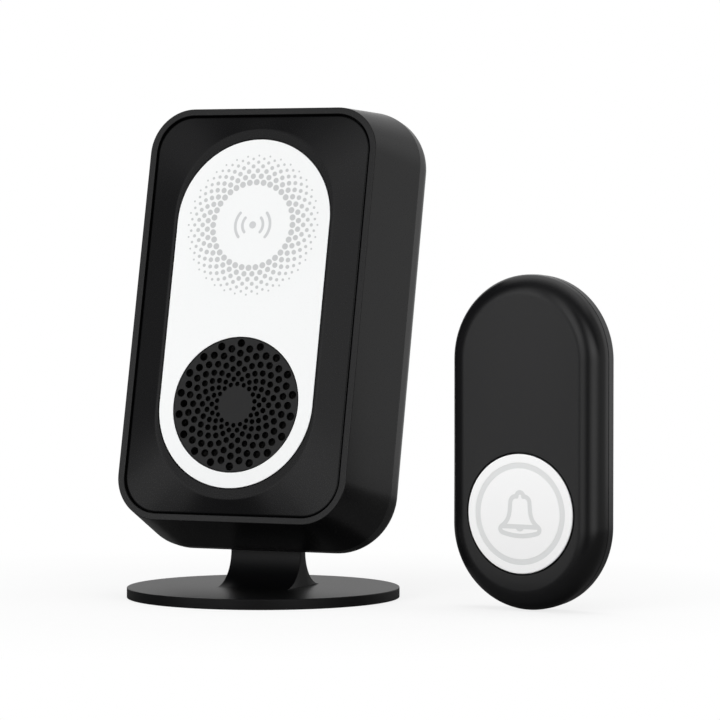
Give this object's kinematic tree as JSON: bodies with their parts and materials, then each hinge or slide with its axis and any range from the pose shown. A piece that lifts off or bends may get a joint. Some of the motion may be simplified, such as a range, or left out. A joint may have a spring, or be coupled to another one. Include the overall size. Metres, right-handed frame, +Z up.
{
  "type": "wireless call set",
  "caption": "Counter call receiver with speaker and call light, leaning on a round stand, with a separate oblong battery-powered push button unit.",
  "frame": {"origin": "centre of the stand's underside, on the counter", "axes": "+Z up, the receiver's face looks to -Y, and the button unit stands on its +X side"},
  "size_m": [0.1329, 0.0704, 0.1262],
  "materials": {
    "housing_black": "satin moulded",
    "fascia_black": "satin moulded",
    "stand_black": "satin moulded",
    "panel_white": "smooth moulded",
    "grille_black": "matt moulded",
    "key_black": "satin moulded",
    "foam_black": "matt foam",
    "sheet_steel": "plain pressed",
    "screw_steel": "zinc plated",
    "cone_paper": "matt paper",
    "magnet_ferrite": "matt",
    "diffuser_frosted": "frosted",
    "led_resin": "clear moulded",
    "board_green": "satin lacquer",
    "chip_black": "matt moulded",
    "cell_jacket": "gloss film",
    "contact_plated": "nickel plated",
    "coin_steel": "plain pressed",
    "unit_black": "soft satin moulded",
    "plate_black": "satin moulded",
    "button_white": "smooth moulded",
    "stem_tan": "moulded",
    "silicone_grey": "matt moulded"
  },
  "bodies": {
    "receiver": {"stand": "stand_black", "base_weight": "sheet_steel", "foot_pad": "foam_black", "stand_screw": "screw_steel", "housing": "housing_black", "fascia": "fascia_black", "face_panel": "panel_white", "speaker_grille": "grille_black", "speaker_gasket": "foam_black", "speaker_basket": "sheet_steel", "speaker_cone": "cone_paper", "speaker_magnet": "magnet_ferrite", "speaker_screws": "screw_steel", "light_diffuser": "diffuser_frosted", "indicator_leds": "led_resin", "main_board": "board_green", "board_chips": "chip_black", "board_screws": "screw_steel", "rear_cover": "housing_black", "case_screws": "screw_steel", "key_board": "board_green", "key_switches": "chip_black", "key_board_screws": "screw_steel", "battery_cells": "cell_jacket", "battery_contacts": "contact_plated", "battery_springs": "contact_plated"},
    "battery_cover": {"battery_cover": "housing_black"},
    "volume_key": {"volume_key": "key_black"},
    "melody_key": {"melody_key": "key_black"},
    "button_unit": {"remote_shell": "unit_black", "back_plate": "plate_black", "back_screws": "screw_steel", "button_pad": "silicone_grey", "call_switch": "chip_black", "remote_board": "board_green", "remote_chip": "chip_black", "status_led": "led_resin", "coin_cell": "coin_steel", "cell_holder": "chip_black", "cell_contact": "contact_plated"},
    "push_button": {"call_button": "button_white", "switch_plunger": "stem_tan"}
  },
  "joints": [
    {"name": "battery_cover_pull", "type": "slide", "parent": "receiver", "child": "battery_cover", "axis": [0, 0.9751, -0.2215], "range_m": [0, 0.03]},
    {"name": "volume_press", "type": "slide", "parent": "receiver", "child": "volume_key", "axis": [0, -0.9751, 0.2215], "range_m": [0, 0.0005], "stiffness_N_per_m": 1500, "springref_m": -0.0008},
    {"name": "melody_press", "type": "slide", "parent": "receiver", "child": "melody_key", "axis": [0, -0.9751, 0.2215], "range_m": [0, 0.0005], "stiffness_N_per_m": 1500, "springref_m": -0.0008},
    {"name": "button_unit_lift", "type": "slide", "parent": "receiver", "child": "button_unit", "axis": [0, 0, 1], "range_m": [0, 0.12]},
    {"name": "button_press", "type": "slide", "parent": "button_unit", "child": "push_button", "axis": [0.1433, 0.9897, 0], "range_m": [0, 0.0005], "stiffness_N_per_m": 1500, "springref_m": -0.0008, "deforming": ["button_pad"]}
  ]
}
